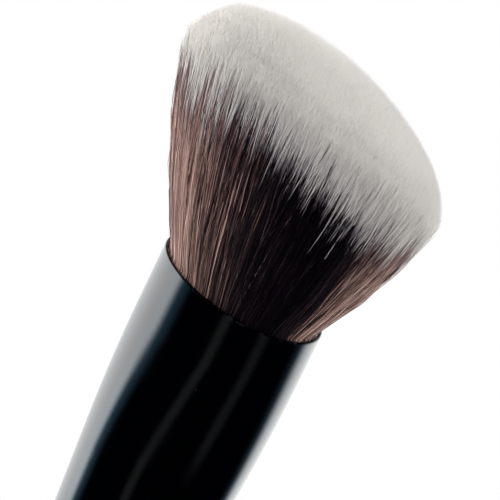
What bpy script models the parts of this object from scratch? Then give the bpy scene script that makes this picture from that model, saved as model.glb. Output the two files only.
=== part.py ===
# Angled blush brush, modelled standing on the butt of its handle. Lengths are metres.
# +Z runs from the butt to the bristles, the long bristles are at -X, and the flat of the
# head faces -Y. The handle's tenon is glued and crimped into a slanted, tapered ferrule,
# and the tuft's roots are set in resin above it.

import math

import bpy
import numpy as np
from mathutils import Vector
from mathutils.geometry import interpolate_bezier

# Fits: what is left free between two pieces that touch on the real brush
MEETING_GAP = 0.0003
GLUE_LINE = 0.0004              # thinnest glue round the tenon, at the ferrule's lower edge

# Handle, from its butt up
HANDLE_LENGTH = 0.104           # butt to shoulder
TENON_LENGTH = 0.024
TENON_CHAMFER = 0.0008
SHOULDER_CHAMFER = 0.0003
BELLY_REACH = 0.034             # how far below the shoulder the handle stays full
BELLY_SWELL = 0.0006            # how far the belly's curve pulls out past the shoulder
TAIL_RADIUS = 0.0041
TAIL_REACH = 0.046              # how far up from the round butt the handle stays slim
BUTT_ROUND_HEIGHT = 0.0048
BUTT_FLAT_RADIUS = 0.0023

# Ferrule, from its lower edge up
FERRULE_LENGTH = 0.042          # lower edge to the centre of the mouth
FERRULE_LOWER_RADIUS = 0.0070
FERRULE_MOUTH_RADIUS = 0.0090
FERRULE_STRAIGHT_LENGTH = 0.0125
FERRULE_WALL = 0.0004
LIP_BEAD_RADIUS = 0.00025
MOUTH_SLANT = math.radians(6.5)
CRIMP_HEIGHTS = (0.0060, 0.0092)
CRIMP_WIDTH = 0.0016
CRIMP_DEPTH = 0.0003

# Tuft, measured from the centre of the mouth
SLICE_DEPTH = 0.0035            # mouth to the top of the resin slice that holds the strands
SLICE_THICKNESS = 0.0020
HEAD_HALF_WIDTH = 0.0157
HEAD_HALF_DEPTH = 0.0098
HEAD_OFFSET = 0.0008            # the head leans this far to the long side
CROWN_HEIGHT = 0.0256
DOME_END_DROP = 0.0065          # from the crown to the dome's narrow ends, beside the slant
DOME_FLAT_DROP = 0.0036         # from the crown to the edge of the dome's flats
DOME_POWER = 1.77               # roundness of the dome: 1 is a cone and 2 an ellipse
HEAD_SLANT = math.radians(13.5)
STRAND_COUNT = 400
STRAND_ROOT_RADIUS = 0.00031
STRAND_FULL_RADIUS = 0.00040
STRAND_FULL_SHARE = 0.72        # of the free length, where a strand is thickest and turns pale
STRAND_BOW_SHARE = 0.72         # extra lean at the mouth, which eases off towards the tip
STRAND_LIP_CLEARANCE = 0.0005
ROOT_EMBED = 0.0006             # how deep the strands reach into the slice they are fused to

# Counts
HANDLE_STEPS = 48
FERRULE_STEPS = 72
INNER_STEPS = 40
SLICE_STEPS = 48
BELLY_POINTS = 15
ROUND_POINTS = 5
STRAND_SIDES = 3

# Places that follow from the sizes above
FERRULE_Z = HANDLE_LENGTH + MEETING_GAP
MOUTH_Z = FERRULE_Z + FERRULE_LENGTH
TENON_TOP_Z = HANDLE_LENGTH + TENON_LENGTH
SLICE_TOP_Z = MOUTH_Z - SLICE_DEPTH
SLICE_BOTTOM_Z = SLICE_TOP_Z - SLICE_THICKNESS
TENON_RADIUS = FERRULE_LOWER_RADIUS - FERRULE_WALL - GLUE_LINE - 2 * MEETING_GAP
TAPER_HEIGHT = FERRULE_LENGTH - FERRULE_STRAIGHT_LENGTH
MOUTH_BORE_RADIUS = FERRULE_MOUTH_RADIUS - 2 * LIP_BEAD_RADIUS
MERGE_DISTANCE = MEETING_GAP / 100


def new_material(name, colour, roughness, metallic):
    material = bpy.data.materials.new(name)
    material.use_nodes = True
    shader = material.node_tree.nodes["Principled BSDF"]
    shader.inputs["Base Color"].default_value = (*colour, 1)
    shader.inputs["Roughness"].default_value = roughness
    shader.inputs["Metallic"].default_value = metallic
    return material


def add_piece(name, mesh, materials, height, parent):
    """Puts a mesh in the brush's collection, at its height on the brush's axis."""
    piece = bpy.data.objects.new(name, mesh)
    for material in materials:
        mesh.materials.append(material)
    piece.location = (0, 0, height)
    piece.parent = parent
    parent.users_collection[0].objects.link(piece)
    return piece


def profile_mesh(name, outline, closed):
    """A line of (radius, height) points in the XZ plane, for a Screw modifier to turn."""
    points = [(radius, 0, height) for radius, height in outline]
    edges = [(i, i + 1) for i in range(len(points) - 1)]
    if closed:
        edges.append((len(points) - 1, 0))
    mesh = bpy.data.meshes.new(name)
    mesh.from_pydata(points, edges, [])
    return mesh


def add_turned(name, outline, closed, steps, material, height, parent):
    """A turned piece. Its outline runs down the outer side, from the top to the bottom."""
    piece = add_piece(name, profile_mesh(name, outline, closed), [material], height, parent)
    screw = piece.modifiers.new("Turn", "SCREW")
    screw.steps = screw.render_steps = steps
    screw.use_merge_vertices = True
    screw.merge_threshold = MERGE_DISTANCE
    screw.use_smooth_shade = True
    return piece


def apply_modifiers(piece):
    """Replaces a piece's mesh by what its modifiers make of it."""
    graph = bpy.context.evaluated_depsgraph_get()
    mesh = bpy.data.meshes.new_from_object(piece.evaluated_get(graph))
    mesh.name = piece.name
    piece.modifiers.clear()
    piece.data = mesh


def quarter_round(centre, radii, start, count):
    """Points on a quarter of an ellipse about centre, clockwise from the start angle."""
    angles = [start - i / count * math.pi / 2 for i in range(count + 1)]
    return [(centre[0] + radii[0] * math.cos(a), centre[1] + radii[1] * math.sin(a)) for a in angles]


def ferrule_radius(height):
    """Outer radius above the lower edge: a cone up to the straight mouth, less the crimps."""
    share = min(height / TAPER_HEIGHT, 1)
    radius = FERRULE_LOWER_RADIUS + (FERRULE_MOUTH_RADIUS - FERRULE_LOWER_RADIUS) * share
    for crimp in CRIMP_HEIGHTS:
        away = abs(height - crimp) / (CRIMP_WIDTH / 2)
        if away < 1:
            radius -= CRIMP_DEPTH * (1 + math.cos(math.pi * away)) / 2
    return radius


def crimp_stations():
    """Heights above the lower edge that the crimped wall needs, from the bottom up."""
    offsets = [CRIMP_WIDTH / 2 * share for share in (-1, -0.5, 0, 0.5, 1)]
    return [crimp + offset for crimp in CRIMP_HEIGHTS for offset in offsets]


def fill_radius(height):
    """Outer radius of what fills the ferrule, at a height above the ferrule's lower edge."""
    return ferrule_radius(height) - FERRULE_WALL - MEETING_GAP


def add_handle(parent):
    """A turned handle: a plain tenon, a shoulder flush with the ferrule, a soft belly and a round butt."""
    tenon = [
        (0, TENON_TOP_Z),
        (TENON_RADIUS - TENON_CHAMFER, TENON_TOP_Z),
        (TENON_RADIUS, TENON_TOP_Z - TENON_CHAMFER),
        (TENON_RADIUS, HANDLE_LENGTH),
        (FERRULE_LOWER_RADIUS - SHOULDER_CHAMFER, HANDLE_LENGTH),
    ]
    belly_top = Vector((FERRULE_LOWER_RADIUS, HANDLE_LENGTH - SHOULDER_CHAMFER))
    tail_end = Vector((TAIL_RADIUS, BUTT_ROUND_HEIGHT))
    belly_pull = belly_top + Vector((BELLY_SWELL, -BELLY_REACH))
    tail_pull = tail_end + Vector((0, TAIL_REACH))
    belly = [tuple(p) for p in interpolate_bezier(belly_top, belly_pull, tail_pull, tail_end, BELLY_POINTS)]
    butt = quarter_round(
        centre=(BUTT_FLAT_RADIUS, BUTT_ROUND_HEIGHT),
        radii=(TAIL_RADIUS - BUTT_FLAT_RADIUS, BUTT_ROUND_HEIGHT),
        start=0,
        count=ROUND_POINTS,
    )
    outline = tenon + belly + butt[1:] + [(0, 0)]
    lacquer = new_material("black_lacquer", (0.004, 0.004, 0.005), 0.10, 0)
    return add_turned("handle", outline, False, HANDLE_STEPS, lacquer, 0, parent)


def add_ferrule(parent):
    """A tapered tube with two crimps and a beaded mouth, which is then slanted to the long side."""
    bead_height = FERRULE_LENGTH - LIP_BEAD_RADIUS
    bead_centre = (FERRULE_MOUTH_RADIUS - LIP_BEAD_RADIUS, bead_height)
    bead_radii = (LIP_BEAD_RADIUS, LIP_BEAD_RADIUS)
    outer_bead = quarter_round(bead_centre, bead_radii, math.pi / 2, ROUND_POINTS)
    inner_bead = quarter_round(bead_centre, bead_radii, math.pi, ROUND_POINTS)
    wall_heights = [0, *crimp_stations(), TAPER_HEIGHT]
    outer_wall = [(ferrule_radius(h), h) for h in reversed(wall_heights)]
    inner_wall = [(ferrule_radius(h) - FERRULE_WALL, h) for h in wall_heights]
    bead_root = (FERRULE_MOUTH_RADIUS - FERRULE_WALL, bead_height - LIP_BEAD_RADIUS)
    outline = outer_bead + outer_wall + inner_wall + [bead_root] + inner_bead[:-1]
    lacquer = new_material("black_enamel", (0.004, 0.004, 0.006), 0.08, 0)
    ferrule = add_turned("ferrule", outline, True, FERRULE_STEPS, lacquer, FERRULE_Z, parent)
    apply_modifiers(ferrule)
    slanted_from = FERRULE_LENGTH - FERRULE_STRAIGHT_LENGTH / 2
    for vertex in ferrule.data.vertices:
        if vertex.co.z > slanted_from:
            vertex.co.z -= vertex.co.x * math.tan(MOUTH_SLANT)
    return ferrule


def add_tenon_glue(parent):
    """The glue between the straight tenon and the tapered, crimped wall."""
    top = TENON_TOP_Z - FERRULE_Z
    heights = [0, *(h for h in crimp_stations() if h < top), top]
    outer = [(fill_radius(h), h) for h in reversed(heights)]
    bore = TENON_RADIUS + MEETING_GAP
    outline = outer + [(bore, 0), (bore, top)]
    glue = new_material("tenon_glue", (0.62, 0.55, 0.40), 0.45, 0)
    return add_turned("tenon_glue", outline, True, INNER_STEPS, glue, FERRULE_Z, parent)


def add_resin_plug(parent):
    """The resin that fills the ferrule between the tenon's end and the slice under the strands."""
    bottom = TENON_TOP_Z + MEETING_GAP - FERRULE_Z
    top = SLICE_BOTTOM_Z - MEETING_GAP - FERRULE_Z
    outline = [(0, top), (fill_radius(top), top)]
    if bottom < TAPER_HEIGHT < top:
        outline.append((fill_radius(TAPER_HEIGHT), TAPER_HEIGHT))
    outline += [(fill_radius(bottom), bottom), (0, bottom)]
    resin = new_material("root_resin", (0.30, 0.20, 0.10), 0.35, 0)
    return add_turned("resin_plug", outline, False, INNER_STEPS, resin, FERRULE_Z, parent)


def strand_rings():
    """Centres, triangle radii and tips of all strands, measured from the centre of the mouth.

    The roots lie on a sunflower pattern in the mouth. The tips carry the same pattern to an oval,
    on a dome that slants down from the long side, so the strands spread and never cross.
    """
    count = np.arange(STRAND_COUNT)
    spread = np.sqrt((count + 0.5) / STRAND_COUNT)
    turn = count * math.pi * (3 - math.sqrt(5))
    across, deep = spread * np.cos(turn), spread * np.sin(turn)

    root_spread = MOUTH_BORE_RADIUS - MEETING_GAP - STRAND_ROOT_RADIUS
    root_x, root_y = root_spread * across, root_spread * deep
    lip_z = STRAND_LIP_CLEARANCE - root_x * math.tan(MOUTH_SLANT)

    slope = HEAD_HALF_WIDTH * across * math.tan(HEAD_SLANT)
    tip_x = HEAD_HALF_WIDTH * across - HEAD_OFFSET
    tip_y = HEAD_HALF_DEPTH * deep
    edge_drop = DOME_END_DROP * np.cos(turn) ** 2 + DOME_FLAT_DROP * np.sin(turn) ** 2
    tip_z = CROWN_HEIGHT - slope - edge_drop * (1 - (1 - spread**DOME_POWER) ** (1 / DOME_POWER))

    along = STRAND_FULL_SHARE
    lean = along * (1 + STRAND_BOW_SHARE * (1 - along))
    full_x = root_x + (tip_x - root_x) * lean
    full_y = root_y + (tip_y - root_y) * lean
    full_z = lip_z + (tip_z - lip_z) * along

    root_z = np.full(STRAND_COUNT, -SLICE_DEPTH - ROOT_EMBED)
    centres = [
        np.stack([root_x, root_y, root_z], axis=1),
        np.stack([root_x, root_y, lip_z], axis=1),
        np.stack([full_x, full_y, full_z], axis=1),
    ]
    radii = [STRAND_ROOT_RADIUS, STRAND_ROOT_RADIUS, STRAND_FULL_RADIUS]
    return centres, radii, np.stack([tip_x, tip_y, tip_z], axis=1)


def strands_mesh():
    """Every strand is a loft of level triangles that ends in a point. The last span is pale."""
    centres, radii, tips = strand_rings()
    corner_turns = np.arange(STRAND_SIDES) / STRAND_SIDES * 2 * math.pi
    corners = np.stack([np.cos(corner_turns), np.sin(corner_turns), 0 * corner_turns], axis=1)
    rings = [centre[:, None, :] + radius * corners for centre, radius in zip(centres, radii)]
    points = np.concatenate([*rings, tips[:, None, :]], axis=1)
    points_each = points.shape[1]
    tip = points_each - 1

    pattern = [tuple(reversed(range(STRAND_SIDES)))]
    for ring in range(len(rings) - 1):
        low, high = ring * STRAND_SIDES, (ring + 1) * STRAND_SIDES
        for side in range(STRAND_SIDES):
            after = (side + 1) % STRAND_SIDES
            pattern.append((low + side, low + after, high + after, high + side))
    last = (len(rings) - 1) * STRAND_SIDES
    pale_from = len(pattern)
    for side in range(STRAND_SIDES):
        pattern.append((last + side, last + (side + 1) % STRAND_SIDES, tip))

    starts = [strand * points_each for strand in range(STRAND_COUNT)]
    faces = [tuple(start + p for p in face) for start in starts for face in pattern]
    mesh = bpy.data.meshes.new("strands")
    mesh.from_pydata(points.reshape(-1, 3).tolist(), [], faces)
    pale = [int(i % len(pattern) >= pale_from) for i in range(len(faces))]
    mesh.polygons.foreach_set("material_index", pale)
    return mesh


def add_bristle_tuft(parent, cutters):
    """The strands, fused to the slice of resin that their roots are set in."""
    dark = new_material("dark_filament", (0.020, 0.012, 0.012), 0.45, 0)
    pale = new_material("pale_filament", (0.62, 0.59, 0.57), 0.55, 0)
    tuft = add_piece("bristle_tuft", strands_mesh(), [dark, pale], MOUTH_Z, parent)

    slice_radius = fill_radius(SLICE_BOTTOM_Z - FERRULE_Z)
    bpy.ops.mesh.primitive_cylinder_add(
        vertices=SLICE_STEPS,
        radius=slice_radius,
        depth=SLICE_THICKNESS,
        location=(0, 0, SLICE_TOP_Z - SLICE_THICKNESS / 2),
    )
    backing = bpy.context.active_object
    backing.name = "slice_guide"
    backing.data.materials.append(dark)
    backing.hide_render = True
    backing.display_type = "WIRE"
    for collection in list(backing.users_collection):
        collection.objects.unlink(backing)
    cutters.objects.link(backing)

    union = tuft.modifiers.new("Fuse to slice", "BOOLEAN")
    union.operation = "UNION"
    union.object = backing
    return tuft


def main():
    for old in list(bpy.data.objects):
        bpy.data.objects.remove(old, do_unlink=True)
    brush = bpy.data.collections.new("angled_blush_brush")
    cutters = bpy.data.collections.new("cutters")
    bpy.context.scene.collection.children.link(brush)
    bpy.context.scene.collection.children.link(cutters)
    axis = bpy.data.objects.new("brush_axis", None)
    brush.objects.link(axis)

    add_handle(axis)
    add_ferrule(axis)
    add_tenon_glue(axis)
    add_resin_plug(axis)
    add_bristle_tuft(axis, cutters)


main()
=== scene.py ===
# Looks of the angled blush brush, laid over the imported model. Lengths are metres.
# The brush stands on its butt along +Z, with the long bristles at -X and a flat of the head at -Y.
import math

import bpy
import numpy as np
from mathutils import Matrix, Vector


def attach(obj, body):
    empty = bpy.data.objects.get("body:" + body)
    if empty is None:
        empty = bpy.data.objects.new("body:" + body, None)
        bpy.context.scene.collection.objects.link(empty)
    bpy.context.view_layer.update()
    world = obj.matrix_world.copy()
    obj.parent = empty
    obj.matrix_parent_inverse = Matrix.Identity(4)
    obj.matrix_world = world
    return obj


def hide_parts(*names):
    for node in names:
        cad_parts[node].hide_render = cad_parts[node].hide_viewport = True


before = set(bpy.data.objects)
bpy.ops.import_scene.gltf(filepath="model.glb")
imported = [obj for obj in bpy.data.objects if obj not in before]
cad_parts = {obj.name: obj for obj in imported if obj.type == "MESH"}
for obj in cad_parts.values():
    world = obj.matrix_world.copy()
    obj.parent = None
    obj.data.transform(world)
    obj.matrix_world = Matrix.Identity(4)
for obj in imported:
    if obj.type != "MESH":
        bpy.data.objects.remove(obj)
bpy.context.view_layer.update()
print("frame loaded")

# Places that several pieces share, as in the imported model
brush = {
    "ferruleFoot": 0.1043,
    "mouth": 0.1463,
    "mouthSlant": math.tan(math.radians(6.5)),
    "shoulder": 0.1040,
}


# Rises straight from 0 to 1 over a width
def ramp(value, start, width):
    return np.clip((value - start) / width, 0, 1)


# Gives a node its inputs: a value that is a socket is linked, and any other is set
def fill(tree, node, values):
    for key, value in values.items():
        if isinstance(value, bpy.types.NodeSocket):
            tree.links.new(value, node.inputs[key])
        else:
            node.inputs[key].default_value = value


def put(tree, kind, values=None, **settings):
    node = tree.nodes.new("ShaderNode" + kind)
    for name, value in settings.items():
        setattr(node, name, value)
    fill(tree, node, values or {})
    return node


# The helpers below add their nodes to the tree of the socket that they are given
def maths(operation, first, second=0.0):
    tree = (first if isinstance(first, bpy.types.NodeSocket) else second).id_data
    return put(tree, "Math", {0: first, 1: second}, operation=operation).outputs[0]


def plus(first, second):
    return maths("ADD", first, second)


def minus(first, second):
    return maths("SUBTRACT", first, second)


def times(first, second):
    return maths("MULTIPLY", first, second)


# A smooth step from 0 to 1 between two values
def ease(value, start, end):
    values = {"Value": value, "From Min": start, "From Max": end}
    return put(value.id_data, "MapRange", values, interpolation_type="SMOOTHSTEP").outputs["Result"]


def noise(place, scale, detail):
    return put(place.id_data, "TexNoise", {"Vector": place, "Scale": scale, "Detail": detail}).outputs[0]


def bumps(height, strength, distance):
    values = {"Height": height, "Strength": strength, "Distance": distance}
    return put(height.id_data, "Bump", values).outputs[0]


# Mixes two colours, each a socket or three numbers. Inputs 6 and 7 are the node's colours.
def mixColours(share, first, second, blend="MIX"):
    values = {"Factor": share}
    for key, colour in ((6, first), (7, second)):
        values[key] = colour if isinstance(colour, bpy.types.NodeSocket) else (*colour, 1)
    return put(share.id_data, "Mix", values, data_type="RGBA", blend_type=blend).outputs[2]


# A node group with the named sockets. A place is a vector, and all else is a number.
def newGroup(name, inputs, outputs):
    group = bpy.data.node_groups.new(name, "ShaderNodeTree")
    for direction, names in (("INPUT", inputs), ("OUTPUT", outputs)):
        for socketName in names:
            kind = "NodeSocketVector" if socketName == "Place" else "NodeSocketFloat"
            group.interface.new_socket(socketName, in_out=direction, socket_type=kind)
    return group, group.nodes.new("NodeGroupInput").outputs, group.nodes.new("NodeGroupOutput")


def useGroup(tree, group, values):
    return put(tree, "Group", values, node_tree=group).outputs


# A material with its tree and its shader, whose plain values are set
def newMaterial(name, plain):
    material = bpy.data.materials.new(name)
    material.use_nodes = True
    tree = material.node_tree
    shader = tree.nodes["Principled BSDF"]
    fill(tree, shader, plain)
    return material, tree, shader


# Puts a mesh, a lamp or a camera in the scene
def addObject(name, data):
    thing = bpy.data.objects.new(name, data)
    bpy.context.scene.collection.objects.link(thing)
    return thing


# Puts a mesh in the scene as a piece on the brush's one body
def addPiece(name, mesh, material, nodeName):
    mesh.materials.append(material)
    piece = addObject(name, mesh)
    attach(piece, "root")
    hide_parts(nodeName)


# A mesh from arrays of points and of face corners, with faces of mixed length
def meshFromArrays(name, points, corners, faceLengths):
    mesh = bpy.data.meshes.new(name)
    mesh.vertices.add(len(points))
    mesh.vertices.foreach_set("co", points.astype(np.float32).ravel())
    mesh.loops.add(len(corners))
    mesh.loops.foreach_set("vertex_index", corners.astype(np.int32))
    mesh.polygons.add(len(faceLengths))
    starts = np.concatenate([[0], np.cumsum(faceLengths)[:-1]])
    mesh.polygons.foreach_set("loop_start", starts.astype(np.int32))
    mesh.polygons.foreach_set("loop_total", faceLengths.astype(np.int32))
    mesh.polygons.foreach_set("use_smooth", np.ones(len(faceLengths), bool))
    mesh.update(calc_edges=True)
    return mesh


# Turns a line of (radius, height) round the Z axis. Point (i, j) of the grid is line point i at
# turn j: its radius times the turn's cosine and sine, and its height.
def turnedPoints(line, steps):
    turns = np.arange(steps) / steps * math.tau
    radius, height = line[:, :1], line[:, 1:]
    return np.stack([radius * np.cos(turns), radius * np.sin(turns), height + 0 * turns], axis=2)


# Skins a turned grid with quads. Its line runs up the outside, so the faces look outwards. Fans
# close its foot or top on the axis, and without them its last point joins its first.
def turnedMesh(name, grid, fans=()):
    rows, steps = grid.shape[:2]
    index = np.arange(rows * steps).reshape(rows, steps)
    if not fans:
        index = np.concatenate([index, index[:1]])
    after = np.roll(index, -1, axis=1)
    quads = np.stack([index[:-1], after[:-1], after[1:], index[1:]], axis=2).reshape(-1, 4)
    points, corners, lengths = grid.reshape(-1, 3), quads.ravel(), np.full(len(quads), 4)
    for end, first, second in (("foot", after[0], index[0]), ("top", index[-1], after[-1])):
        if end in fans:
            fan = np.stack([first, second, np.full(steps, len(points))], axis=1)
            points = np.concatenate([points, [[0, 0, points[first[0], 2]]]])
            corners = np.concatenate([corners, fan.ravel()])
            lengths = np.concatenate([lengths, np.full(steps, 3)])
    return meshFromArrays(name, points, corners, lengths)


# Camera: a long lens on the flat front of the head, a little above it

camera = {
    "pitch": math.radians(20.5),  # how far above the flat of the head the lens stands
    "roll": math.radians(25.8),  # the brush leans to the right in the picture
    "frameWidth": 0.0497,
    "distance": 0.90,
    "sensor": 36.0,
    "aimRight": 0.00055,  # from the mouth to the middle of the picture
    "aimUp": 0.0037,
}


def addCamera():
    rollCos, rollSin = math.cos(camera["roll"]), math.sin(camera["roll"])
    pitchCos, pitchSin = math.cos(camera["pitch"]), math.sin(camera["pitch"])
    right = Vector((rollCos, pitchSin * rollSin, pitchCos * rollSin))
    up = Vector((-rollSin, pitchSin * rollCos, pitchCos * rollCos))
    back = Vector((0, -pitchCos, pitchSin))
    aim = Vector((0, 0, brush["mouth"])) + right * camera["aimRight"] + up * camera["aimUp"]
    data = bpy.data.cameras.new("portraitLens")
    data.sensor_width = camera["sensor"]
    data.lens = camera["sensor"] * camera["distance"] / camera["frameWidth"]
    lens = addObject("portraitLens", data)
    turn = Matrix((right, up, back)).transposed().to_4x4()
    lens.matrix_world = Matrix.Translation(aim + back * camera["distance"]) @ turn
    bpy.context.scene.camera = lens


addCamera()
print("camera placed")


# Studio: lamps for the light, and a world that holds what gloss mirrors

# Level is what a white face turned to the lamp renders as. At distance d it takes a power of
# (pi d) squared times the level.
lamps = {
    "overheadLamp": {"azimuth": -2, "lift": 56, "distance": 0.75, "size": 0.50, "level": 0.40},
    "longSideLamp": {"azimuth": -110, "lift": 6, "distance": 0.70, "size": 0.42, "level": 1.70},
    "shortSideLamp": {"azimuth": 118, "lift": 8, "distance": 0.70, "size": 0.36, "level": 1.25},
    "rearLamp": {"azimuth": 172, "lift": 28, "distance": 0.80, "size": 0.50, "level": 0.24},
    "frontLamp": {"azimuth": -4, "lift": 20, "distance": 0.80, "size": 0.60, "level": 0.40},
}

# Softboxes and dim tubes as bands of azimuth, in degrees from -Y and negative to -X, at the
# height of the camera's mirror ray. A lean is how far a band's edge shifts with each degree of
# lift, and a band fades out below its foot. An edge past 180 degrees stays upright.
bandKeys = ("tint", "lean", "foot", "Strength", "Start", "Soft Start", "End", "Soft End")
bands = [dict(zip(bandKeys, row)) for row in (
    ("white", 3.8, -90, 1.0, -181, 1, -74, 15),
    ("white", 3.8, -90, 3.4, -185, 105, -74, 15),
    ("teal", 3.8, -90, 0.62, -110, 25, -55, 28),
    ("white", -1.7, -90, 1.2, 112, 22, 181, 1),
    ("white", -1.7, -90, 1.2, 112, 22, 185, 50),
    ("teal", -1.7, -90, 0.22, 100, 22, 138, 18),
    ("white", 2.5, -90, 0.21, -11, 9, 9, 9),
    ("white", 1.0, -9, 0.15, 40, 12, 64, 12),
)]
tints = {"white": (0.97, 1.0, 1.01), "teal": (0.50, 1.0, 1.45)}

studio = {
    "fill": (0.36, 0.36, 0.37),
    "mirrorLift": -20.5,  # height of the camera's mirror ray, in degrees
    "leanRange": 9.0,  # the edges lean this far below that height and no further
    "footFade": 4.0,
    "glossRange": (4.0, 20.0),  # gloss mirrors less and less between these heights
    "lampAim": 0.010,  # above the mouth
}
ground = {
    "radius": 0.20, "lastRing": 0.01, "rings": 12, "steps": 96, "drop": 0.0001,
    "fade": (0.07, 0.194), "colour": (0.80, 0.80, 0.80),
}


# A band of light: rises at its start and falls at its end, and each edge moves by its shift
def softboxBand():
    inputs = ("Azimuth", "Start Shift", "End Shift", *bandKeys[3:])
    group, given, result = newGroup("softboxBand", inputs, ("Light",))
    riseStart = plus(given["Start"], given["Start Shift"])
    fallEnd = plus(given["End"], given["End Shift"])
    rise = ease(given["Azimuth"], riseStart, plus(riseStart, given["Soft Start"]))
    fall = ease(given["Azimuth"], minus(fallEnd, given["Soft End"]), fallEnd)
    light = times(rise, minus(1.0, fall))
    fill(group, result, {"Light": times(light, given["Strength"])})
    return group


# Gloss mirrors the sum of the bands, other rays get the fill, and the camera sees white
def lightWorld():
    world = bpy.data.worlds.new("studioWorld")
    bpy.context.scene.world = world
    world.use_nodes = True
    tree = world.node_tree
    tree.nodes.clear()
    direction = put(tree, "SeparateXYZ", {0: put(tree, "TexCoord").outputs["Generated"]}).outputs
    azimuth = maths("DEGREES", maths("ARCTAN2", direction["X"], times(direction["Y"], -1.0)))
    height = maths("DEGREES", maths("ARCSINE", direction["Z"]))
    lift = minus(height, studio["mirrorLift"])
    lift = maths("MINIMUM", maths("MAXIMUM", lift, -studio["leanRange"]), 0.0)
    reach = minus(1.0, ease(height, *studio["glossRange"]))
    group = softboxBand()
    mirrored = None
    for tint, colour in tints.items():
        total = 0.0
        for band in [band for band in bands if band["tint"] == tint]:
            values = {"Azimuth": azimuth, **{key: band[key] for key in bandKeys[3:]}}
            for edge in ("Start", "End"):
                if abs(band[edge]) < 180:
                    values[edge + " Shift"] = times(lift, band["lean"])
            light = useGroup(tree, group, values)["Light"]
            aboveFoot = ease(lift, band["foot"], band["foot"] + studio["footFade"])
            total = plus(total, times(light, aboveFoot))
        glow = put(tree, "Background", {"Color": (*colour, 1), "Strength": times(total, reach)})
        if mirrored:
            glow = put(tree, "AddShader", {0: mirrored.outputs[0], 1: glow.outputs[0]})
        mirrored = glow
    path = put(tree, "LightPath").outputs
    filled = put(tree, "Background", {"Color": (*studio["fill"], 1)})
    white = put(tree, "Background", {"Color": (1, 1, 1, 1)})
    light = put(tree, "MixShader", {0: path["Is Glossy Ray"], 1: filled.outputs[0], 2: mirrored.outputs[0]})
    seen = maths("MAXIMUM", path["Is Camera Ray"], path["Is Transmission Ray"])
    shown = put(tree, "MixShader", {0: seen, 1: light.outputs[0], 2: white.outputs[0]})
    put(tree, "OutputWorld", {"Surface": shown.outputs[0]})


def addLamps():
    target = Vector((0, 0, brush["mouth"] + studio["lampAim"]))
    for name, lamp in lamps.items():
        azimuth, lift = math.radians(lamp["azimuth"]), math.radians(lamp["lift"])
        flat = math.cos(lift)
        away = Vector((math.sin(azimuth) * flat, -math.cos(azimuth) * flat, math.sin(lift)))
        data = bpy.data.lights.new(name, "AREA")
        data.size = lamp["size"]
        data.energy = lamp["level"] * math.pi ** 2 * lamp["distance"] ** 2
        light = addObject(name, data)
        light.location = target + away * lamp["distance"]
        light.rotation_euler = away.to_track_quat("Z", "Y").to_euler()
        light.visible_camera = False
        light.visible_glossy = False


# A round floor that fades into the white background towards its rim
def addFloor():
    radii = np.linspace(ground["radius"], ground["lastRing"], ground["rings"])
    line = np.column_stack([radii, np.full(len(radii), -ground["drop"])])
    mesh = turnedMesh("studioFloor", turnedPoints(line, ground["steps"]), ("top",))
    plain = {"Roughness": 0.8, "Specular IOR Level": 0.1, "Base Color": (*ground["colour"], 1)}
    material, tree, shader = newMaterial("paleFloor", plain)
    place = put(tree, "TexCoord").outputs["Object"]
    reach = put(tree, "VectorMath", {0: place}, operation="LENGTH").outputs["Value"]
    white = put(tree, "Emission", {"Color": (1, 1, 1, 1), "Strength": 1.0})
    seen = times(ease(reach, *ground["fade"]), put(tree, "LightPath").outputs["Is Camera Ray"])
    blend = put(tree, "MixShader", {0: seen, 1: shader.outputs[0], 2: white.outputs[0]})
    fill(tree, tree.nodes["Material Output"], {"Surface": blend.outputs[0]})
    mesh.materials.append(material)
    floor = addObject("studioFloor", mesh)
    floor.visible_glossy = False


lightWorld()
addLamps()
addFloor()
bpy.context.scene.view_settings.view_transform = "Standard"
print("studio lit")


# Finishes that the metal and the wood share. Scales are per metre.

lacquer = {
    "bump": 0.00002,
    "smear": {"scale": 140.0, "detail": 4.0, "range": (0.42, 0.72)},
    "hairline": {"turn": (0.2, 0.35, 0.0), "scale": (4200.0, 4200.0, 130.0), "halfWidth": 0.012},
    "dust": {"scale": 620.0, "range": (0.04, 0.08), "height": 6.0, "roughness": 0.4,
             "share": 0.5, "colour": (0.10, 0.10, 0.10)},
    "rub": {"scale": 1500.0, "detail": 3.0, "range": (0.50, 0.66), "roughness": 0.12},
}


# Marks in a coat of gloss black. The height is a fine ripple plus specks of dust, and the
# roughness is smudges, plus hairline scuffs inside them, plus the specks.
def lacquerMarks():
    smear, hairline, dust = lacquer["smear"], lacquer["hairline"], lacquer["dust"]
    inputs = ("Place", "Ripple Scale", "Smudge", "Scuff", "Dust")
    group, given, result = newGroup("lacquerMarks", inputs, ("Height", "Roughness", "Dust"))
    ripple = noise(given["Place"], given["Ripple Scale"], 1.0)
    clouds = noise(given["Place"], smear["scale"], smear["detail"])
    smudge = times(ease(clouds, *smear["range"]), given["Smudge"])
    values = {"Vector": given["Place"], "Rotation": hairline["turn"], "Scale": hairline["scale"]}
    stretched = put(group, "Mapping", values).outputs[0]
    ridge = maths("ABSOLUTE", minus(noise(stretched, 1.0, 0.0), 0.5))
    ridge = minus(1.0, ease(ridge, 0.0, hairline["halfWidth"]))
    scuff = times(times(ridge, given["Scuff"]), smudge)
    cells = put(group, "TexVoronoi", {"Vector": given["Place"], "Scale": dust["scale"]}).outputs
    speck = minus(1.0, ease(cells["Distance"], *dust["range"]))
    chance = put(group, "SeparateColor", {0: cells["Color"]}).outputs[0]
    speck = times(speck, maths("LESS_THAN", chance, given["Dust"]))
    rough = plus(plus(smudge, scuff), times(speck, dust["roughness"]))
    height = plus(ripple, times(speck, dust["height"]))
    fill(group, result, {"Height": height, "Roughness": rough, "Dust": speck})
    return group


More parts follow.
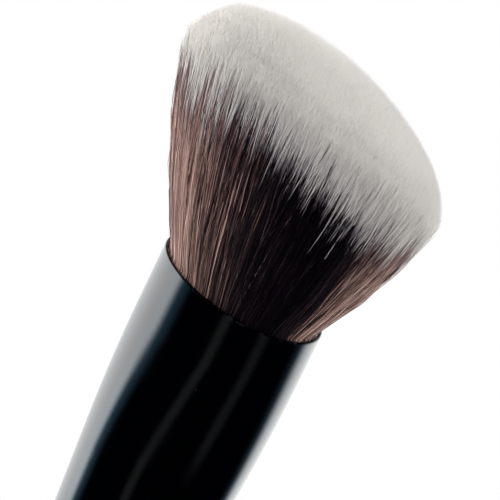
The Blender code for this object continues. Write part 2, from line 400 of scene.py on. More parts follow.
# Wear where a coat is rubbed thin: full at one height, gone a reach away, times patches of noise
def edgeRub():
    group, given, result = newGroup("edgeRub", ("Place", "Along", "Centre", "Reach"), ("Mask",))
    away = maths("ABSOLUTE", minus(given["Along"], given["Centre"]))
    near = minus(1.0, ease(away, 0.0, given["Reach"]))
    patches = noise(given["Place"], lacquer["rub"]["scale"], lacquer["rub"]["detail"])
    fill(group, result, {"Mask": times(near, ease(patches, *lacquer["rub"]["range"]))})
    return group


marksGroup = lacquerMarks()
rubGroup = edgeRub()


# A gloss black coat: clean colour, then worn by the rub, then dusty. Its roughness is its own plus
# the marks and the rub, and the marks' height is its bump. The rub follows a slanted rim.
def blackCoat(name, coat):
    dust = lacquer["dust"]
    material, tree, shader = newMaterial(name, {"IOR": 1.5})
    place = put(tree, "TexCoord").outputs["Object"]
    parts = put(tree, "SeparateXYZ", {0: place}).outputs
    along = plus(parts["Z"], times(parts["X"], coat["slant"]))
    values = {"Place": place, "Ripple Scale": coat["rippleScale"], "Smudge": coat["smudge"],
              "Scuff": coat["scuff"], "Dust": coat["dust"]}
    marks = useGroup(tree, marksGroup, values)
    values = {"Place": place, "Along": along, "Centre": coat["rubHeight"], "Reach": coat["rubReach"]}
    rub = useGroup(tree, rubGroup, values)["Mask"]
    worn = mixColours(times(rub, coat["rubShare"]), coat["colour"], coat["wornColour"])
    dusty = mixColours(times(marks["Dust"], dust["share"]), worn, dust["colour"])
    rough = plus(marks["Roughness"], coat["roughness"])
    rough = plus(rough, times(rub, lacquer["rub"]["roughness"]))
    normal = bumps(marks["Height"], coat["rippleStrength"], lacquer["bump"])
    fill(tree, shader, {"Base Color": dusty, "Roughness": rough, "Normal": normal})
    return material


# Ferrule: a turned tube with two crimps and a beaded mouth, slanted to the long side

ferrule = {
    "length": 0.0420, "lowerRadius": 0.0070, "mouthRadius": 0.0090, "straightLength": 0.0125,
    "blend": 0.0070,  # rounds the change from the cone to the straight mouth
    "wall": 0.0004, "footRound": 0.00012, "bead": 0.00020, "beadPoints": 10,
    "crimps": (0.0060, 0.0092), "crimpWidth": 0.0016, "crimpDepth": 0.0003,
    "lowerRows": (0.0004, 0.0125, 76),  # first height, last height and count
    "upperRows": (0.0130, 0.0002, 60),  # first height, gap below the bead and count
    "slantFade": 0.0015, "steps": 256,
    "coat": {
        "colour": (0.0001, 0.0002, 0.0006), "wornColour": (0.02, 0.02, 0.022),
        "roughness": 0.055, "rippleScale": 700.0, "rippleStrength": 0.05,
        "smudge": 0.05, "scuff": 2.0, "dust": 0.05, "slant": brush["mouthSlant"],
        "rubHeight": brush["mouth"], "rubReach": 0.0004, "rubShare": 0.5,
    },
}


# Outer radius at a height above the foot: a cone and a straight mouth, joined by a parabola that
# reaches the blend to either side, less a raised cosine at each crimp
def ferruleRadius(height):
    taper = ferrule["length"] - ferrule["straightLength"]
    rise = ferrule["blend"] / taper
    share = height / taper
    gap = np.clip((share - 1) / rise, -1, 1)
    eased = 1 - rise * (1 - gap) ** 2 / 4
    share = np.where(share < 1 - rise, share, np.where(share > 1 + rise, 1, eased))
    radius = ferrule["lowerRadius"] + (ferrule["mouthRadius"] - ferrule["lowerRadius"]) * share
    for crimp in ferrule["crimps"]:
        away = np.clip(np.abs(height - crimp) / (ferrule["crimpWidth"] / 2), 0, 1)
        radius = radius - ferrule["crimpDepth"] * (1 + np.cos(math.pi * away)) / 2
    return radius


# A quarter of a circle from a start angle: the centre plus the radius times cosine and sine
def quarter(centreRadius, centreHeight, radius, start, count=7):
    turn = math.radians(start) + np.linspace(0, 1, count) * math.pi / 2
    return np.column_stack([centreRadius + radius * np.cos(turn), centreHeight + radius * np.sin(turn)])


# The line runs up the outside, over the bead and down the inside, at every third height
def ferruleLine():
    foot, bead, wall = ferrule["footRound"], ferrule["bead"], ferrule["wall"]
    top = ferrule["length"] - bead
    highStart, gap, highCount = ferrule["upperRows"]
    heights = np.concatenate([np.linspace(*ferrule["lowerRows"]),
                              np.linspace(highStart, top - gap, highCount)])
    outside = np.column_stack([ferruleRadius(heights), heights])
    lower = ferruleRadius(np.array([0.0]))[0]
    footOuter = quarter(lower - foot, foot, foot, 270)
    footInner = quarter(lower - wall + foot, foot, foot, 180)
    beadCentre = ferrule["mouthRadius"] - bead
    beadOuter = quarter(beadCentre, top, bead, 0, ferrule["beadPoints"])
    beadInner = quarter(beadCentre, top, bead, 90, ferrule["beadPoints"])[1:]
    inside = np.column_stack([ferruleRadius(heights) - wall, heights])[::-3]
    return np.concatenate([footOuter, outside, beadOuter, beadInner, inside, footInner[:-1]])


# From the middle of the straight part up, each point sinks by its X times the slant
def addFerrule():
    grid = turnedPoints(ferruleLine(), ferrule["steps"])
    slantedFrom = ferrule["length"] - ferrule["straightLength"] / 2
    share = ramp(grid[..., 2], slantedFrom, ferrule["slantFade"])
    grid[..., 2] -= grid[..., 0] * brush["mouthSlant"] * share
    grid[..., 2] += brush["ferruleFoot"]
    mesh = turnedMesh("ferruleTube", grid)
    addPiece("ferruleTube", mesh, blackCoat("blackEnamel", ferrule["coat"]), "ferrule")


addFerrule()
print("ferrule turned")


# Handle: tenon, shoulder, soft belly and round butt, under black lacquer

handle = {
    "tenonTop": 0.1280, "tenonRadius": 0.0056, "tenonChamfer": 0.0008,
    "shoulderRadius": 0.0070, "shoulderChamfer": 0.0003, "neckRound": 0.0001,
    "bellyPull": (0.0076, 0.0697), "tailPull": (0.0041, 0.0508),
    "tailRadius": 0.0041, "buttHeight": 0.0048, "buttFlat": 0.0023,
    "flatRings": (0.3, 0.7, 0.95),  # shares of the flat's radius
    "topRing": 0.4,  # share of the tenon's radius
    "bellyRows": 120, "buttRows": 24, "steps": 192,
    "coat": {
        "colour": (0.0016, 0.0015, 0.0018), "wornColour": (0.035, 0.022, 0.014),
        "roughness": 0.07, "rippleScale": 420.0, "rippleStrength": 0.10,
        "smudge": 0.08, "scuff": 2.5, "dust": 0.05, "slant": 0.0,
        "rubHeight": 0.0006, "rubReach": 0.0016, "rubShare": 0.6,
    },
}


# The belly is a cubic curve between the shoulder and the tail, drawn out by its two pulls, and the
# butt is a quarter of an ellipse
def handleLine():
    t = np.linspace(1, 0, handle["bellyRows"])[:, None]
    u = 1 - t
    shoulder = np.array([handle["shoulderRadius"], brush["shoulder"] - handle["shoulderChamfer"]])
    tail = np.array([handle["tailRadius"], handle["buttHeight"]])
    bellyPull, tailPull = np.array(handle["bellyPull"]), np.array(handle["tailPull"])
    belly = u ** 3 * shoulder + 3 * t * u ** 2 * bellyPull + 3 * t ** 2 * u * tailPull + t ** 3 * tail
    turn = np.linspace(-math.pi / 2, 0, handle["buttRows"])
    wide = handle["tailRadius"] - handle["buttFlat"]
    butt = np.column_stack([handle["buttFlat"] + wide * np.cos(turn),
                            handle["buttHeight"] * (1 + np.sin(turn))])
    flat = [(handle["buttFlat"] * share, 0) for share in handle["flatRings"]]
    chamfer, tenon, fillet = handle["tenonChamfer"], handle["tenonRadius"], handle["neckRound"]
    neck = [
        (handle["shoulderRadius"] - handle["shoulderChamfer"], brush["shoulder"]),
        (tenon + fillet, brush["shoulder"]),
        (tenon, brush["shoulder"] + fillet),
        (tenon, handle["tenonTop"] - chamfer),
        (tenon - chamfer, handle["tenonTop"]),
        (tenon * handle["topRing"], handle["tenonTop"]),
    ]
    return np.concatenate([flat, butt, belly[1:], neck])


def addHandle():
    mesh = turnedMesh("handleGrip", turnedPoints(handleLine(), handle["steps"]), ("foot", "top"))
    addPiece("handleGrip", mesh, blackCoat("blackLacquer", handle["coat"]), "handle")


addHandle()
print("handle turned")


# Resin and glue inside the ferrule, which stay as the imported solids

inside = {
    "resin_plug": {"name": "rootResin", "dark": (0.16, 0.085, 0.035), "pale": (0.42, 0.27, 0.12),
                   "roughness": 0.28, "scale": 260.0},
    "tenon_glue": {"name": "tenonGlue", "dark": (0.50, 0.40, 0.24), "pale": (0.70, 0.63, 0.46),
                   "roughness": 0.42, "scale": 420.0},
}
liquid = {
    "detail": 5.0, "cloudRange": (0.3, 0.7), "cloudRoughness": 0.2,
    "bubbleScale": 6, "bubbleRange": (0.10, 0.22), "bubbleShare": 0.35, "bubbleHeight": -0.4,
    "bump": (0.3, 0.0001),
}


# A set liquid: two tones in clouds, with small bubbles that are pale and sunk in
def setLiquid(look):
    material, tree, shader = newMaterial(look["name"], {"IOR": 1.5})
    place = put(tree, "TexCoord").outputs["Object"]
    cloud = noise(place, look["scale"], liquid["detail"])
    cells = put(tree, "TexVoronoi", {"Vector": place, "Scale": look["scale"] * liquid["bubbleScale"]})
    bubble = minus(1.0, ease(cells.outputs["Distance"], *liquid["bubbleRange"]))
    colour = mixColours(ease(cloud, *liquid["cloudRange"]), look["dark"], look["pale"])
    colour = mixColours(times(bubble, liquid["bubbleShare"]), colour, look["pale"])
    rough = plus(times(cloud, liquid["cloudRoughness"]), look["roughness"])
    height = plus(cloud, times(bubble, liquid["bubbleHeight"]))
    normal = bumps(height, *liquid["bump"])
    fill(tree, shader, {"Base Color": colour, "Roughness": rough, "Normal": normal})
    return material


for nodeName, look in inside.items():
    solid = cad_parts[nodeName]
    finish = setLiquid(look)
    for slot in solid.material_slots:
        slot.material = finish
print("resin and glue finished")


# Tuft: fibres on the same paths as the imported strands, gathered in locks round a solid heart.
# A strand has its place on a unit disc, where across runs from the long end at -1 to the short end
# at 1, deep from the front at -1 to the back, and spread is the way out from the middle.

tuft = {
    "halfWidth": 0.0159, "halfDepth": 0.0098, "offset": 0.00088, "crown": 0.0257,
    "endDrop": 0.0065, "flatDrop": 0.0036, "power": 1.77, "slant": math.tan(math.radians(14.4)),
    "bow": 0.72, "bowFall": (0.34, 0.32),  # the two ends bow out less than the flats
    "longTrim": (0.70, 0.29, 0.0015),  # start and width across, and how far fibres end lower
    "shortTrim": (0.80, 0.20, 0.0005),
    "rootSpread": 0.00855, "rootDepth": 0.0032, "rootAlong": -0.9, "lipClearance": 0.0002,
    "tones": 64, "toneEdge": 0.14, "toneSide": 0.24, "footRun": 0.02,  # a strand's place on the map
}

# The sides of the head. Dark rings are shares of the way to the change to pale, runs are the places
# of all rings on the finish's map, and each pair is a limit and a share of the pale end.
edgeLayer = {
    "seed": 29, "locks": 3600, "fibres": 5, "innerSpread": 0.93, "outerSpread": 1.0, "lockWidth": 2.0,
    "rootRadius": 0.000034, "fullRadius": 0.000036, "tipRadius": 0.000024,
    "pinch": 0.60, "lockWave": 0.00016, "fibreWave": 0.00015,
    "lockDrift": 0.040, "fibreDrift": 0.052, "crossShare": 0.12, "crossDrift": 0.13,
    "darkShare": 0.010, "feather": -0.07, "rimUneven": 0.0,
    "darkRings": (0.14, 0.29, 0.44, 0.60, 0.77), "blur": (0.062, 0.45), "taper": (0.045, 0.3),
    "runs": (0.02, 0.06, 0.12, 0.18, 0.24, 0.30, 0.36, 0.44, 0.56, 0.74, 0.88),
    "changeRadii": (0.96, 0.86),  # shares of the full radius below and above the change
    "shade": (0.06, 0.12), "shadeAt": (0.30, 0.35),  # painted shade on the last two rings of the short side
    "browner": (0.45, 0.55), "brownerAt": (0.5, 0.3),  # roots of the long and the short end, which stay lighter brown higher up as partly painted side light
}

# The dome. Pale rings are shares of the pale end, from its start to the tip.
crownLayer = {
    "seed": 12, "locks": 48000, "fibres": 1, "innerSpread": 0.0, "outerSpread": 0.975, "lockWidth": 0.55,
    "fullRadius": 0.000044, "midShare": 0.80, "tipRadius": 0.000014, "rimSwell": (0.25, 0.8),
    "pinch": 1.0, "lockWave": 0.00004, "fibreWave": 0.00003,
    "lockDrift": 0.0, "fibreDrift": 0.010, "crossShare": 0.0, "crossDrift": 0.0,
    "darkShare": 0.0006, "feather": -0.06, "rimUneven": 0.6,
    "paleRings": (1, 0.5, 0.2, 0), "runShares": (0, 0.5, 0.85, 1), "firstRun": 0.56, "lastRun": 0.91,
    # rimShade and shortShade darken the pale tips towards the rim as painted shade
    "rimShade": 0.12, "shortShade": 0.16, "shortWidth": 0.4,
}

# How the fibres gather and sway. A pair is a start and a width on the disc, or a range.
sway = {
    "rim": (0.88, 0.05), "turnNoise": 0.02, "pinchReach": 1.25, "pinchPower": 0.8,
    "lockRate": (0.8, 3.4), "fibreRate": (0.8, 4.5), "bulge": 1.25, "tipHold": 1.05, "size": 2.2,
}

# How unevenly they end. A line is the wave counts and the seed of a random line round the disc.
ends = {
    "uneven": 0.00028, "raggedAt": (0.80, 0.20), "ragged": 1.6,
    "rimAt": (0.75, 0.20), "rimLine": (range(25, 140, 9), 15), "rimWave": 0.00035,
    "few": 0.13, "fewMoreAt": (0.7, 0.2), "fewMore": 1.5, "fewDepth": 0.0040,
}

# Length of the pale ends. Bend is an extra length at places across the head, a trim is a side, a
# start, a width and the length taken off, and a pair is for everywhere and for the long side.
paleEnds = {
    "length": 0.0048, "limits": (0.0016, 0.010), "mostShare": 0.85, "longAt": (0.20, 0.45),
    "clumpLine": (range(9, 60, 3), 5), "clump": 0.0004,
    "bendAt": (-1, -0.85, -0.65, -0.50, -0.35, -0.13, 0.15, 0.28, 0.42, 0.8, 1),
    "bend": (0.0008, 0.0014, 0.0010, -0.0005, -0.0010, 0.0001, -0.0001, -0.0003, 0.0003, 0.0004, 0.0002),
    # gap shortens the pale ends in the painted shadow between locks, so the dark reaches higher
    "fewShare": 0.6, "gap": 0.0030, "byLock": (0.0002, 0.0014), "byFibre": (0.0012, 0.0004),
    "trims": ((-1, 0.72, 0.28, 0.0021), (-1, 0.88, 0.10, 0.0012), (1, 0.66, 0.28, 0.0010)),
    "darkLeft": 0.35,
}

# Tone at places across the head, from 0 for black-brown to 1 for rosy brown. The rise to rosy brown at the
# two ends is partly the fibres' colour and partly painted side light through them.
fibreTone = {
    "toneAt": (-1, -0.85, -0.70, -0.60, -0.52, -0.35, -0.15, 0, 0.25, 0.56, 0.82, 1),
    "tone": (0.83, 0.81, 0.77, 0.66, 0.47, 0.385, 0.27, 0.17, 0.05, 0.05, 0.66, 0.74),
    "spread": (0.04, 0.13), "calmAt": (0.62, 0.20), "calm": 0.55, "livelyAt": (0.6, 0.15), "lively": 0.4,
    "streakLine": (range(41, 180, 13), 7), "byLock": 0.8, "byFibre": 2.0,
    # gap darkens the tone in the painted shadow between locks
    "gapShadowAt": (0.4, 0.4), "gap": 0.55, "rareShare": 0.02, "rareHighlightLift": 0.22, "most": 0.999,
}
gaps = {"line": (range(60, 240, 17), 13), "from": 0.7}


# Where a strand of the unit disc ends: an oval, on a dome that slants down from the long side. Its
# fall is 1 less the root of 1 less the power of the spread, times a drop that the ends have most of.
def tipPlace(across, deep):
    spread = np.minimum(np.hypot(across, deep), 1)
    turn = np.arctan2(deep, across)
    edgeDrop = tuft["endDrop"] * np.cos(turn) ** 2 + tuft["flatDrop"] * np.sin(turn) ** 2
    fall = 1 - (1 - spread ** tuft["power"]) ** (1 / tuft["power"])
    x = tuft["halfWidth"] * across
    return np.stack([x - tuft["offset"], tuft["halfDepth"] * deep,
                     tuft["crown"] - x * tuft["slant"] - edgeDrop * fall], axis=-1)


# A point on a strand. Along is 0 at the lip and 1 at the tip, and below 0 it runs straight down
# into the ferrule, where -1 is the root. The lean is along times 1 plus the bow times the rest.
def strandPlace(across, deep, along):
    rootX, rootY = tuft["rootSpread"] * across, tuft["rootSpread"] * deep
    lip = np.stack([rootX, rootY, tuft["lipClearance"] - rootX * brush["mouthSlant"]], axis=-1)
    free = np.maximum(along, 0)
    longFall, shortFall = tuft["bowFall"]
    bow = tuft["bow"] - longFall * np.maximum(-across, 0) - shortFall * np.maximum(across, 0)
    lean = (free * (1 + bow * (1 - free)))[..., None]
    rise = np.concatenate([lean, lean, free[..., None]], axis=-1)
    place = lip + (tipPlace(across, deep) - lip) * rise
    place[..., 2] += np.minimum(along, 0) * tuft["rootDepth"] + brush["mouth"]
    return place


# How much lower the fibres end at the very ends of the head than the dome does: by a smooth step
# at the long end and by a straight one at the short end
def endTrim(across):
    *longAt, longDepth = tuft["longTrim"]
    *shortAt, shortDepth = tuft["shortTrim"]
    share = ramp(-across, *longAt)
    return longDepth * share ** 2 * (3 - 2 * share) + shortDepth * ramp(across, *shortAt)


# A random line round the disc: a sum of sines with whole numbers of waves
def roundNoise(turn, waves, seed):
    draw = np.random.default_rng(seed)
    total = 0 * turn
    for count in waves:
        total = total + draw.normal() * np.sin(count * turn + draw.uniform(0, math.tau))
    return total / math.sqrt(len(waves))


# Rings are pairs of spread and along
heart = {
    "steps": 160,
    "foot": [(0.05, -0.9), (0.5, -0.9), (0.91, -0.9)],
    "sideSpread": 0.93, "sideTop": 0.74, "sideRings": 14,
    "edge": [(0.935, 0.80), (0.94, 0.85), (0.94, 0.89), (0.925, 0.915)],
    "domeSpreads": (0.88, 0.06, 12),  # first, last and count
    "dome": 0.960, "domeFall": 0.033, "domeFallAt": (0.58, 0.34),
    "middle": 0.962,
    "trimFrom": 0.7, "trimLength": 0.025, "mapEdge": 1.5,
    "streaks": (260.0, 7.0, 1.0), "streakDetail": 3.0, "jag": 0.06, "paleRange": (0.475, 0.52),
    "dark": ((0.004, 0.003, 0.003), (0.03, 0.02, 0.018)),
    # pale is a little darker than the fibre tips: painted shade inside the tuft
    "pale": ((0.60, 0.575, 0.545), (0.74, 0.715, 0.68)),
    "bump": (0.6, 0.0001),
}


# Gives the heart its map, in the order of its faces: U is the turn and V the ring, and the middles
# of the fans lie outside the rings
def mapHeart(mesh, ringCount):
    steps, edge = heart["steps"], heart["mapEdge"]
    row, column = np.divmod(np.arange((ringCount - 1) * steps)[:, None], steps)
    turn = np.arange(steps)[:, None]
    rows = [row + [0, 0, 1, 1], 0 * turn + [0, 0, -1], 0 * turn + ringCount + [-1, -1, 0]]
    columns = [column + [0, 1, 1, 0], turn + [1, 0, 1], turn + [0, 1, 0]]
    v, u = [np.concatenate([part.ravel() for part in parts]) + edge for parts in (rows, columns)]
    uv = np.column_stack([u / (steps + 2 * edge), v / (ringCount + 2 * edge)])
    layer = mesh.uv_layers.new(name="OFBake")
    layer.data.foreach_set("uv", uv.astype(np.float32).ravel())


# Streaks along the strands, dark below and pale above a height that the streaks make jagged
def heartFinish():
    material, tree, shader = newMaterial("tuftDepths", {"Roughness": 0.75, "Specular IOR Level": 0.2})
    uv = put(tree, "UVMap", uv_map="OFBake").outputs[0]
    stretched = put(tree, "Mapping", {"Vector": uv, "Scale": heart["streaks"]}).outputs[0]
    streaks = noise(stretched, 1.0, heart["streakDetail"])
    height = put(tree, "SeparateXYZ", {0: uv}).outputs["Y"]
    jagged = plus(height, times(minus(streaks, 0.5), heart["jag"]))
    dark = mixColours(streaks, *heart["dark"])
    light = mixColours(streaks, *heart["pale"])
    colour = mixColours(ease(jagged, *heart["paleRange"]), dark, light)
    fill(tree, shader, {"Base Color": colour, "Normal": bumps(streaks, *heart["bump"])})
    return material


# The heart is one closed skin under the fibres: up the side at one spread, over the dome, which
# falls towards its edge by the square of a ramp, and shut in the ferrule
def addHeart():
    side = np.linspace(0.0, heart["sideTop"], heart["sideRings"])
    rings = heart["foot"] + [(heart["sideSpread"], t) for t in side] + heart["edge"]
    rings += [(s, heart["dome"] - heart["domeFall"] * ramp(s, *heart["domeFallAt"]) ** 2)
              for s in np.linspace(*heart["domeSpreads"])]
    rings = np.array(rings)
    turns = np.arange(heart["steps"]) / heart["steps"] * math.tau
    across = rings[:, :1] * np.cos(turns)
    deep = rings[:, :1] * np.sin(turns)
    along = rings[:, 1:] - endTrim(across) / heart["trimLength"] * (rings[:, 1:] > heart["trimFrom"])
    mesh = turnedMesh("tuftHeart", strandPlace(across, deep, along), ("foot", "top"))
    middles = strandPlace(np.zeros(2), np.zeros(2), np.array([tuft["rootAlong"], heart["middle"]]))
    for vertex, middle in zip(mesh.vertices[-2:], middles):
        vertex.co = middle
    mapHeart(mesh, len(rings))
    addPiece("tuftHeart", mesh, heartFinish(), "bristle_tuft")


# Brown is the ramp of tones, deep multiplies it up the fibre, and fade is the lowest and highest
# tone's colour between brown and pale
fibreColours = {
    "brown": ((0.0, (0.0022, 0.0013, 0.0034)), (0.25, (0.017, 0.010, 0.014)),
              (0.42, (0.062, 0.038, 0.042)), (0.55, (0.14, 0.079, 0.067)),
              (0.75, (0.385, 0.226, 0.187)), (1.0, (0.63, 0.44, 0.39))),
    "deep": (0.54, 0.50, 0.58), "deepRange": (0.16, 0.44),
    "fade": ((0.24, 0.215, 0.255), (0.36, 0.285, 0.265)), "fadeRange": (0.44, 0.50),
    # The pale end lightens towards its tip: its darker lower part is painted shade
    "pale": ((0.68, 0.65, 0.62), (0.875, 0.845, 0.805)), "paleRange": (0.49, 0.56), "tipRange": (0.5, 1.0),
    "roughness": 0.36, "paleRoughness": 0.15, "roughRange": (0.44, 0.56),
}


# Fibre colour: the map's U picks one of the tones, from black-brown to rosy brown, whose rosy end is partly
# painted side light, and its V runs from root to tip, through deeper, fading and pale
def fibreFinish():
    look = fibreColours
    material, tree, shader = newMaterial("paleTippedFibre", {"IOR": 1.5, "Specular IOR Level": 0.25})
    uv = put(tree, "SeparateXYZ", {0: put(tree, "UVMap", uv_map="OFBake").outputs[0]}).outputs
    step = maths("FLOOR", times(uv["X"], float(tuft["tones"])))
    tone = maths("DIVIDE", step, tuft["tones"] - 1.0)
    brown = put(tree, "ValToRGB", {0: tone})
    stops = brown.color_ramp.elements
    while len(stops) < len(look["brown"]):
        stops.new(0.5)
    for stop, (place, colour) in zip(stops, look["brown"]):
        stop.position = place
        stop.color = (*colour, 1)
    # Painted shade: the pale end is darker low down and lightens towards the tip
    pale = mixColours(ease(uv["Y"], *look["tipRange"]), *look["pale"])
    depth = ease(uv["Y"], *look["deepRange"])
    deeper = mixColours(depth, brown.outputs[0], look["deep"], "MULTIPLY")
    between = mixColours(tone, *look["fade"])
    fading = mixColours(ease(uv["Y"], *look["fadeRange"]), deeper, between)
    colour = mixColours(ease(uv["Y"], *look["paleRange"]), fading, pale)
    change = times(ease(uv["Y"], *look["roughRange"]), look["paleRoughness"])
    fill(tree, shader, {"Base Color": colour, "Roughness": plus(change, look["roughness"])})
    return material


spinDraw = np.random.default_rng(41)


# A closed three-sided strand for each row of ring centres. The last ring is the point of the tip.
# Corner j of ring i stands at its radius and at a third of a turn times j, level.
def strandMesh(name, centres, radii, tones, runs):
    count, rings = centres.shape[:2]
    spin = spinDraw.uniform(0, math.tau, count)
    turn = spin[:, None] + np.arange(3) / 3 * math.tau
    corner = np.stack([np.cos(turn), np.sin(turn), 0 * turn], axis=2)
    walls = centres[:, :-1, None, :] + radii[:, :-1, None, None] * corner[:, None, :, :]
    points = np.concatenate([walls.reshape(count, -1, 3), centres[:, -1:, :]], axis=1)
    each = points.shape[1]
    tip, last = each - 1, (rings - 2) * 3
    vertex, side, ring, lengths = [2, 1, 0], [2, 1, 0], [0, 0, 0], [3]
    for i in range(rings - 2):
        for j in range(3):
            k = (j + 1) % 3
            vertex += [i * 3 + j, i * 3 + k, i * 3 + 3 + k, i * 3 + 3 + j]
            side += [j, j + 1, j + 1, j]
            ring += [i, i, i + 1, i + 1]
            lengths.append(4)
    for j in range(3):
        vertex += [last + j, last + (j + 1) % 3, tip]
        side += [j, j + 1, j + 0.5]
        ring += [rings - 2, rings - 2, rings - 1]
        lengths.append(3)
    vertex, side, ring = map(np.array, (vertex, side, ring))
    corners = (np.arange(count)[:, None] * each + vertex).ravel()
    mesh = meshFromArrays(name, points.reshape(-1, 3), corners, np.tile(lengths, count))
    u = (tones[:, None] + tuft["toneEdge"] + tuft["toneSide"] * side) / tuft["tones"]
    v = runs[:, ring]
    v[:, 1] += tuft["footRun"]  # gives the foot's face some width on the map
    layer = mesh.uv_layers.new(name="OFBake")
    layer.data.foreach_set("uv", np.stack([u, v], axis=2).astype(np.float32).ravel())
    return mesh


# Draws the fibres of a layer: locks on a sunflower pattern, feathered in at the rim, and fibres
# scattered over each lock
def drawFibres(layer):
    draw = np.random.default_rng(layer["seed"])
    locks = layer["locks"]
    lock = np.arange(locks)
    inner = layer["innerSpread"] ** 2
    area = layer["outerSpread"] ** 2 - inner
    lockSpread = np.sqrt(inner + area * (lock + 0.5) / locks)
    rim = ramp(lockSpread, *sway["rim"])
    lockSpread = lockSpread + layer["feather"] * rim * draw.uniform(0, 1, locks) ** 2
    lockTurn = lock * math.pi * (3 - math.sqrt(5)) + draw.normal(0, sway["turnNoise"], locks)
    reach = math.sqrt(area / locks) * layer["lockWidth"]
    count = locks * layer["fibres"]
    own = np.repeat(lock, layer["fibres"])
    offSpread = reach * np.sqrt(draw.uniform(0, 1, count))
    offTurn = draw.uniform(0, math.tau, count)
    lockAcross, lockDeep = (lockSpread * np.cos(lockTurn))[own], (lockSpread * np.sin(lockTurn))[own]
    offAcross, offDeep = offSpread * np.cos(offTurn), offSpread * np.sin(offTurn)
    return {
        "draw": draw, "own": own, "turn": lockTurn[own],
        "lockAcross": lockAcross, "offAcross": offAcross, "across": lockAcross + offAcross,
        "lockDeep": lockDeep, "offDeep": offDeep, "deep": lockDeep + offDeep,
    }


# Ring centres of the fibres at the given shares of their length. Each fibre keeps to its lock's
# middle by the pinch, drifts round the disc from lip to tip, and is drawn back inside the disc.
# Then the lock and the fibre each add a sine wave, which fades out at the lip.
def fibreRings(layer, fibres, along):
    draw, own = fibres["draw"], fibres["own"]
    hold = np.clip(along, 0, 1)
    held = np.sin(math.pi * np.clip(hold * sway["pinchReach"], 0, 1)) ** sway["pinchPower"]
    pinch = 1 - (1 - layer["pinch"]) * held
    across = fibres["lockAcross"][:, None] + fibres["offAcross"][:, None] * pinch
    deep = fibres["lockDeep"][:, None] + fibres["offDeep"][:, None] * pinch
    over = np.maximum(np.hypot(across, deep), 1)
    drift = draw.normal(0, layer["lockDrift"], own.max() + 1)[own]
    drift = drift + draw.normal(0, layer["fibreDrift"], len(own))
    crossing = draw.uniform(0, 1, len(own)) < layer["crossShare"]
    drift = drift + crossing * draw.normal(0, layer["crossDrift"], len(own))
    drift = drift[:, None] * (hold - 0.5)
    c, s = np.cos(drift) / over, np.sin(drift) / over
    across, deep = across * c - deep * s, across * s + deep * c
    place = strandPlace(across, deep, along)
    envelope = sway["bulge"] * hold * (sway["tipHold"] - hold)
    waves = [(layer["lockWave"], own, sway["lockRate"]),
             (layer["fibreWave"], np.arange(len(own)), sway["fibreRate"])]
    for amplitude, index, rates in waves:
        total = index.max() + 1
        for axis in (0, 1):
            size = draw.normal(0, amplitude, total)[index][:, None]
            rate = draw.uniform(*rates, total)[index][:, None]
            phase = draw.uniform(0, math.tau, total)[index][:, None]
            wave = np.sin(math.tau * rate * hold + phase)
            place[..., axis] += size * envelope * sway["size"] / np.sqrt(rate) * wave
    return place


# Dark gaps between locks, a painted shadow: 0 nearly everywhere, and up to 1 where a quick random line
# peaks
def gapShadowStrength(turn):
    return np.clip(roundNoise(turn, *gaps["line"]) - gaps["from"], 0, 1)


# How far up each fibre ends, and how long its pale end is, as shares of its whole length. A fibre
# falls short by a little at random, by the end trim, by a wave near the rim, and a few by much.
def fibreLengths(layer, fibres):
    draw, own, turn = fibres["draw"], fibres["own"], fibres["turn"]
    across, deep, count = fibres["across"], fibres["deep"], len(own)
    lip = strandPlace(across, deep, np.zeros(count))
    length = np.linalg.norm(strandPlace(across, deep, np.ones(count)) - lip, axis=1)
    ragged = 1 + ends["ragged"] * ramp(-across, *ends["raggedAt"])
    nearRim = ramp(np.hypot(across, deep), *ends["rimAt"])
    short = draw.exponential(ends["uneven"], count) * (ragged + layer["rimUneven"] * nearRim)
    wave = np.maximum(roundNoise(turn, *ends["rimLine"]), 0)
    short = short + endTrim(across) + ends["rimWave"] * wave * nearRim
    chance = ends["few"] * nearRim * (1 + ends["fewMore"] * ramp(across, *ends["fewMoreAt"]))
    few = (draw.uniform(0, 1, count) < chance) * draw.uniform(0, ends["fewDepth"], count)
    short = short + few
    look = paleEnds
    longSide = ramp(-across, *look["longAt"])
    clump = roundNoise(turn, *look["clumpLine"]) * (look["clump"] + look["clump"] * longSide)
    pale = look["length"] + clump + np.interp(across, look["bendAt"], look["bend"])
    # In the painted shadow between locks the pale ends are shorter
    pale = pale - look["fewShare"] * few - look["gap"] * gapShadowStrength(turn) * longSide
    least, more = look["byLock"]
    pale = pale + draw.normal(0, 1, layer["locks"])[own] * (least + more * longSide)
    least, more = look["byFibre"]
    pale = pale + draw.normal(0, 1, count) * (least + more * longSide)
    for side, start, width, trim in look["trims"]:
        pale = pale - trim * ramp(side * across, start, width)
    pale = np.clip(pale, *look["limits"])
    pale = np.where(draw.uniform(0, 1, count) < layer["darkShare"], look["darkLeft"] * pale, pale)
    end = 1 - short / length
    return end, np.minimum(pale, look["mostShare"] * length * end) / length


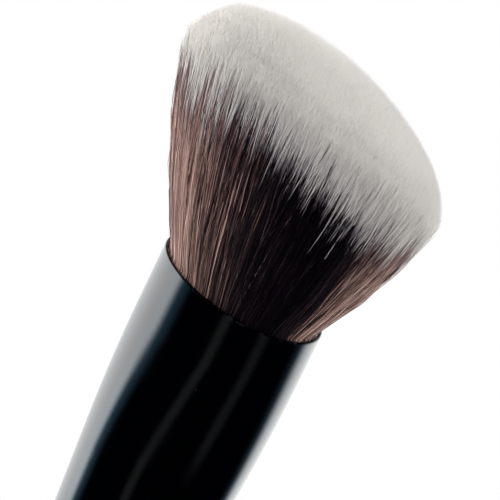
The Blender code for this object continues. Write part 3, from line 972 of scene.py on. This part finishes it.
# Tone of each fibre from 0 to 1: dark in the middle of the flats, brown towards the two ends, where it is
# partly painted side light, and spread by streaks round the head, by lock and by fibre
def fibreTones(layer, fibres):
    draw, own, across, look = fibres["draw"], fibres["own"], fibres["across"], fibreTone
    base = np.interp(across, look["toneAt"], look["tone"])
    spread = look["spread"][0] + look["spread"][1] * base
    calm = look["calm"] * ramp(-across, *look["calmAt"])
    spread = spread * (1 - calm + look["lively"] * ramp(across, *look["livelyAt"]))
    streak = roundNoise(fibres["turn"], *look["streakLine"])
    streak = streak + draw.normal(0, look["byLock"], layer["locks"])[own]
    tone = base + spread * (streak + look["byFibre"] * draw.normal(0, 1, len(own)))
    # The painted shadow between locks darkens the tone
    tone = tone - look["gap"] * gapShadowStrength(fibres["turn"]) * ramp(base, *look["gapShadowAt"])
    # A few fibres are lighter: painted highlights on single hairs
    tone = tone + look["rareHighlightLift"] * (draw.uniform(0, 1, len(own)) < look["rareShare"])
    return np.floor(np.clip(tone, 0, look["most"]) * tuft["tones"])


# Splits a layer into pieces by the side of the head, so no mesh grows too big
def addLayer(prefix, layer, fibres, along, radii, runs, material, names):
    tones = fibreTones(layer, fibres)
    centres = fibreRings(layer, fibres, along)
    width = math.tau / len(names)
    sides = ((fibres["turn"] + width / 2) % math.tau // width).astype(int)
    for side, name in enumerate(names):
        keep = sides == side
        mesh = strandMesh(prefix + name, centres[keep], radii[keep], tones[keep], runs[keep])
        addPiece(prefix + name, mesh, material, "bristle_tuft")
        print(prefix + name, int(keep.sum()), "fibres")


# Eleven rings: root, lip, five dark ones, two at the change to pale, the taper and the tip
def addEdgeFibres(layer, material):
    fibres = drawFibres(layer)
    end, pale = fibreLengths(layer, fibres)
    change, across = end - pale, fibres["across"]
    blur, taper = [np.minimum(most, share * pale) for most, share in (layer["blur"], layer["taper"])]
    dark = [change * share for share in layer["darkRings"]]
    along = np.stack([0 * end + tuft["rootAlong"], 0 * end, *dark, change - blur, change + blur,
                      end - taper, end], axis=1)
    runs = np.tile(layer["runs"], (len(end), 1))
    # Painted shade: the short side's last two rings sit lower on the map, so their pale is darker
    runs[:, -2:] -= ramp(across, *layer["shadeAt"])[:, None] * np.array(layer["shade"])
    # Partly painted side light: the long and the short end stay lighter brown further up
    longShare, shortShare = layer["browner"]
    side = ramp(np.abs(across), *layer["brownerAt"]) * np.where(across > 0, shortShare, longShare)
    runs[:, 2:7] *= 1 - side[:, None]
    full, root, tip = layer["fullRadius"], layer["rootRadius"], layer["tipRadius"]
    below, above = layer["changeRadii"]
    radii = np.tile([root, root, *[full] * len(dark), full * below, full * above, tip, 0], (len(end), 1))
    addLayer("edgeFibres", layer, fibres, along, radii, runs, material,
             ("ShortEnd", "ShortBack", "Back", "LongBack", "LongEnd", "LongFront", "Front", "ShortFront"))


# Four rings from the change to pale up to the tip, since nothing shows below. The last run falls
# with the spread, and more so at the short side, as painted shade on the tips towards the rim. Strands
# swell by the spread's fourth power.
def addCrownFibres(layer, material):
    fibres = drawFibres(layer)
    end, pale = fibreLengths(layer, fibres)
    along = end[:, None] - pale[:, None] * np.array(layer["paleRings"])
    spread = np.hypot(fibres["lockAcross"], fibres["lockDeep"])
    last = layer["lastRun"] - layer["rimShade"] * spread ** 3
    last = last - layer["shortShade"] * ramp(fibres["lockAcross"], 0, layer["shortWidth"]) * spread ** 1.6
    first = layer["firstRun"]
    runs = first + (last[:, None] - first) * np.array(layer["runShares"])
    full, tip = layer["fullRadius"], layer["tipRadius"]
    radii = np.tile([full, full * layer["midShare"], tip, 0], (len(end), 1))
    radii[:, 1:3] *= 1 + np.array(layer["rimSwell"]) * spread[:, None] ** 4
    addLayer("crownFibres", layer, fibres, along, radii, runs, material,
             ("ShortEnd", "Back", "LongEnd", "Front"))


addHeart()
fibreMaterial = fibreFinish()
addEdgeFibres(edgeLayer, fibreMaterial)
addCrownFibres(crownLayer, fibreMaterial)
print("tuft filled")
